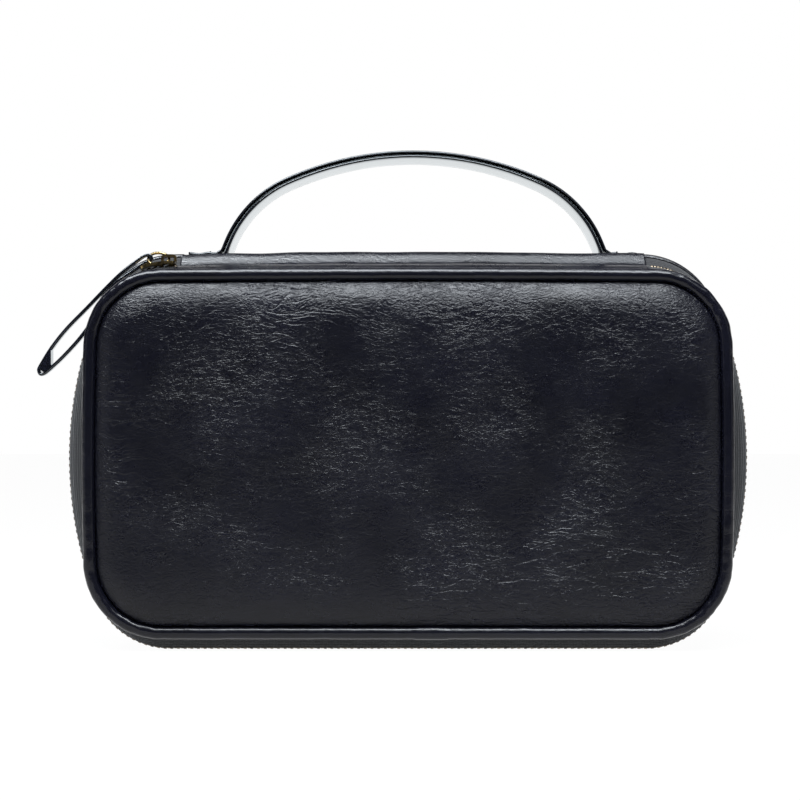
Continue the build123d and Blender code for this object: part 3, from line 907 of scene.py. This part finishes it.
stitch_places = []
for side in (-1, 1):
    foot = arch_place(0.0, side * SHOULDER_ARC[1])[0]
    stitch_x = foot[0] + side * STITCH_ROW_REACH
    stitch_z = strip_height(stitch_x) + STITCH_LIFT
    for number in range(STITCHES_IN_ROW):
        stitch_y = HANDLE["y"] + STITCH_PITCH * (number - (STITCHES_IN_ROW - 1) / 2)
        stitch_places.append((stitch_x, stitch_y, stitch_z))
stitches = make_stitches("handle_thread", stitch_places, 2.3, 0.28)
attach(stitches, "case")
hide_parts("handle_stitches")


# Leather loop of the zip pull, which hangs from the ring through the slider's crown
HOLE_DEPTH = 1.85
crown_low, crown_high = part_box("slider_crown")
hole_x = (crown_low.x + crown_high.x) / 2 / MM
hole_z = crown_high.z / MM - HOLE_DEPTH
RING_LENGTH = 7.8
RING_WIRE = 0.55
RING_ROLL = math.radians(36.0)
RING_LIFT = math.radians(2.0)
wire_x = hole_x - RING_LENGTH * math.cos(RING_LIFT)
wire_z = hole_z + RING_LENGTH * math.sin(RING_LIFT)


def smooth_closed(points, steps):
    """A round curve through the points of a closed loop."""
    points = np.array(points, float)
    count = len(points)
    curve = []
    for index in range(count):
        p0, p1, p2, p3 = (points[(index + k - 1) % count] for k in range(4))
        for step in range(steps):
            t = step / steps
            curve.append(
                0.5 * (2 * p1 + (p2 - p0) * t + (2 * p0 - 5 * p1 + 4 * p2 - p3) * t * t
                       + (3 * p1 - p0 - 3 * p2 + p3) * t**3)
            )
    return np.array(curve)


# Middle of the thong seen from the front, measured from the ring's wire
loop_centre = [
    (1.3, 0.0), (0.8, 1.05), (-0.45, 1.25), (-2.9, 0.0), (-9.2, -4.85), (-15.2, -10.6), (-22.7, -18.4),
    (-30.5, -26.4), (-35.9, -33.2), (-39.9, -39.6), (-40.9, -42.0), (-39.5, -43.5), (-34.9, -39.8),
    (-29.7, -34.6), (-24.9, -29.1), (-21.6, -24.3), (-19.3, -18.5), (-15.7, -13.4), (-11.0, -8.5),
    (-5.2, -4.4), (-1.4, -1.75), (0.5, -1.2),
]
# From here to the ring the thong gathers, by this share of its width
NARROW_START = -12.0
GATHER = 0.55


def make_loop(name, thickness, half_width):
    """Leather thong that hangs from the ring as a long narrow loop."""
    centre = smooth_closed(loop_centre, 8)
    following = np.roll(centre, -1, 0) - np.roll(centre, 1, 0)
    following /= np.linalg.norm(following, axis=1)[:, None]
    outward = np.stack([following[:, 1], -following[:, 0]], 1)
    near = np.clip(1 - centre[:, 0] / NARROW_START, 0, 1)
    half_widths = half_width * (1 - GATHER * near * near * (3 - 2 * near))
    section = [
        (-0.5, -0.86), (-0.5, 0.86), (-0.32, 0.97), (0.0, 1.0), (0.32, 0.97), (0.5, 0.86),
        (0.5, -0.86), (0.32, -0.97), (0.0, -1.0), (-0.32, -0.97),
    ]
    rings = []
    for off, share in section:
        flat = centre + outward * off * thickness
        rings.append(np.stack(
            [wire_x + flat[:, 0], ZIP_Y + share * half_widths, wire_z + flat[:, 1]], 1
        ))
    return make_band(name, rings, strap_leather)


pull_loop = make_loop("pull_loop_leather", 1.1, 2.7)
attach(pull_loop, "pull")
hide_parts("pull_strap")


def make_ring(name):
    """A round wire through the crown, rolled so that its far side stands up behind."""
    sides = 12
    steps = 72
    near_half = 3.7
    widening = 0.9
    vertices = []
    for step in range(steps):
        turn = 2 * math.pi * step / steps
        along = RING_LENGTH / 2 * (1 - math.cos(turn))
        half = near_half + widening * along / RING_LENGTH
        across = half * math.sin(turn)
        tangent = np.array([RING_LENGTH / 2 * math.sin(turn), half * math.cos(turn)])
        tangent /= np.linalg.norm(tangent)
        side_way = np.array([tangent[1], -tangent[0]])
        for side in range(sides):
            angle = 2 * math.pi * side / sides
            flat_along = along + RING_WIRE * math.cos(angle) * side_way[0]
            flat_across = across + RING_WIRE * math.cos(angle) * side_way[1]
            lift = RING_WIRE * math.sin(angle)
            y = flat_across * math.cos(RING_ROLL) - lift * math.sin(RING_ROLL)
            up = flat_across * math.sin(RING_ROLL) + lift * math.cos(RING_ROLL)
            x = hole_x - flat_along * math.cos(RING_LIFT) + up * math.sin(RING_LIFT)
            z = hole_z + flat_along * math.sin(RING_LIFT) + up * math.cos(RING_LIFT)
            vertices.append((x, ZIP_Y + y, z))
    faces = []
    for step in range(steps):
        after = (step + 1) % steps
        for side in range(sides):
            other = (side + 1) % sides
            faces.append((step * sides + side, step * sides + other,
                          after * sides + other, after * sides + side))
    made = make_object(name, vertices, faces, brass_metal)
    face_outwards(made)
    return made


pull_ring = make_ring("pull_ring_brass")
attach(pull_ring, "ring")
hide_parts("pull_ring")

# Carried-over nodes: slider, boards, cords, tip of the pull, linings, bindings and corner tape
carried = {
    "slider_body": brass_metal, "slider_crown": brass_metal,
    "front_board": board_stuff, "back_board": board_stuff, "front_piping_cord": cord_stuff,
    "back_piping_cord": cord_stuff, "pull_tip": strap_leather, "front_lining": lining_cloth,
    "back_lining": lining_cloth, "gusset_lining": lining_cloth, "lid_binding": binding_cloth,
    "case_binding": binding_cloth, "zip_tape_corner": tape_cloth,
}
for node, material in carried.items():
    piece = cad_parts[node]
    piece.data.materials.clear()
    piece.data.materials.append(material)
for node, width in (("slider_body", 0.22), ("slider_crown", 0.22), ("pull_tip", 0.5)):
    add_bevel(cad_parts[node], width)


# Stage, light and camera
def stage_material(name, colour, glow_share):
    """A pale surface that is seen as nearly white and that still holds a soft shadow."""
    material, nodes, links, shader, _ = new_material(name)
    shader.inputs["Base Color"].default_value = (*colour, 1.0)
    shader.inputs["Roughness"].default_value = 0.9
    path = nodes.new("ShaderNodeLightPath")
    glow = nodes.new("ShaderNodeEmission")
    glow.inputs["Color"].default_value = (1.0, 1.0, 1.0, 1.0)
    glow.inputs["Strength"].default_value = 1.0
    mix = nodes.new("ShaderNodeMixShader")
    seen = math_node(nodes, links, "MAXIMUM", path.outputs["Is Camera Ray"],
                     path.outputs["Is Glossy Ray"])
    seen = math_node(nodes, links, "MAXIMUM", seen, path.outputs["Is Transmission Ray"])
    share = math_node(nodes, links, "MULTIPLY", seen, glow_share)
    links.new(share, mix.inputs[0])
    links.new(shader.outputs[0], mix.inputs[1])
    links.new(glow.outputs[0], mix.inputs[2])
    links.new(mix.outputs[0], nodes["Material Output"].inputs["Surface"])
    return material


def make_plane(name, corners, material):
    """A flat piece of the stage."""
    mesh = bpy.data.meshes.new(name)
    mesh.from_pydata(corners, [], [(0, 1, 2, 3)])
    made = bpy.data.objects.new(name, mesh)
    bpy.context.scene.collection.objects.link(made)
    mesh.materials.append(material)
    return made


STAGE_SIDE = 4
STAGE_FRONT = -0.35
STAGE_BACK = 3.0
BACKDROP_TOP = 2
floor_paint = stage_material("floor_paint", (0.86, 0.86, 0.86), 0.975)
wall_paint = stage_material("wall_paint", (0.9, 0.9, 0.9), 1.0)
floor_corners = [
    (-STAGE_SIDE, STAGE_FRONT, 0), (STAGE_SIDE, STAGE_FRONT, 0),
    (STAGE_SIDE, STAGE_BACK, 0), (-STAGE_SIDE, STAGE_BACK, 0),
]
backdrop_corners = [
    (-STAGE_SIDE, STAGE_BACK, 0), (STAGE_SIDE, STAGE_BACK, 0),
    (STAGE_SIDE, STAGE_BACK, BACKDROP_TOP), (-STAGE_SIDE, STAGE_BACK, BACKDROP_TOP),
]
make_plane("floor", floor_corners, floor_paint)
make_plane("backdrop", backdrop_corners, wall_paint)


LIGHT_COLOUR = (0.90, 0.95, 1.0)
LIGHT_TARGET = (0.0, 0.0, 0.08)


def area_light(name, place, size, power):
    """A rectangular lamp that looks at the bag."""
    data = bpy.data.lights.new(name, "AREA")
    data.shape = "RECTANGLE"
    data.size = size[0]
    data.size_y = size[1]
    data.energy = power
    data.color = LIGHT_COLOUR
    lamp = bpy.data.objects.new(name, data)
    lamp.location = place
    aim = Vector(LIGHT_TARGET) - Vector(place)
    lamp.rotation_euler = aim.to_track_quat("-Z", "Y").to_euler()
    bpy.context.scene.collection.objects.link(lamp)


area_light("top_softbox", (-0.15, -0.42, 1.05), (1.3, 0.42), 38.0)
area_light("front_softbox", (0.40, -0.80, 1.0), (1.3, 0.3), 4.0)
area_light("overhead", (0.0, -0.01, 1.1), (1.2, 0.3), 6.5)
area_light("left_strip", (-1.1, -0.5, 0.35), (0.2, 0.9), 0.5)
area_light("right_strip", (1.1, -0.5, 0.35), (0.2, 0.9), 0.5)

WORLD_STRENGTH = 0.05
world = bpy.data.worlds.new("studio")
bpy.context.scene.world = world
world.use_nodes = True
background = world.node_tree.nodes["Background"]
background.inputs["Color"].default_value = (1.0, 1.0, 1.0, 1.0)
background.inputs["Strength"].default_value = WORLD_STRENGTH

# Camera: level, straight at the front, where the photograph was taken from
CAMERA_DISTANCE = 830.0
CAMERA_X = -3.0
CAMERA_Z = 93.2
FOCAL_PIXELS = 2241.0
IMAGE_PIXELS = 800.0
SENSOR = 36.0
camera_data = bpy.data.cameras.new("camera")
camera_data.sensor_width = SENSOR
camera_data.lens = FOCAL_PIXELS / IMAGE_PIXELS * SENSOR
camera_data.clip_start = 0.01
camera_data.clip_end = 20.0
camera = bpy.data.objects.new("camera", camera_data)
camera.location = (CAMERA_X * MM, (FRONT_SEAM_Y - CAMERA_DISTANCE) * MM, CAMERA_Z * MM)
camera.rotation_euler = (math.pi / 2, 0.0, 0.0)
bpy.context.scene.collection.objects.link(camera)
bpy.context.scene.camera = camera
bpy.context.scene.view_settings.view_transform = "Standard"
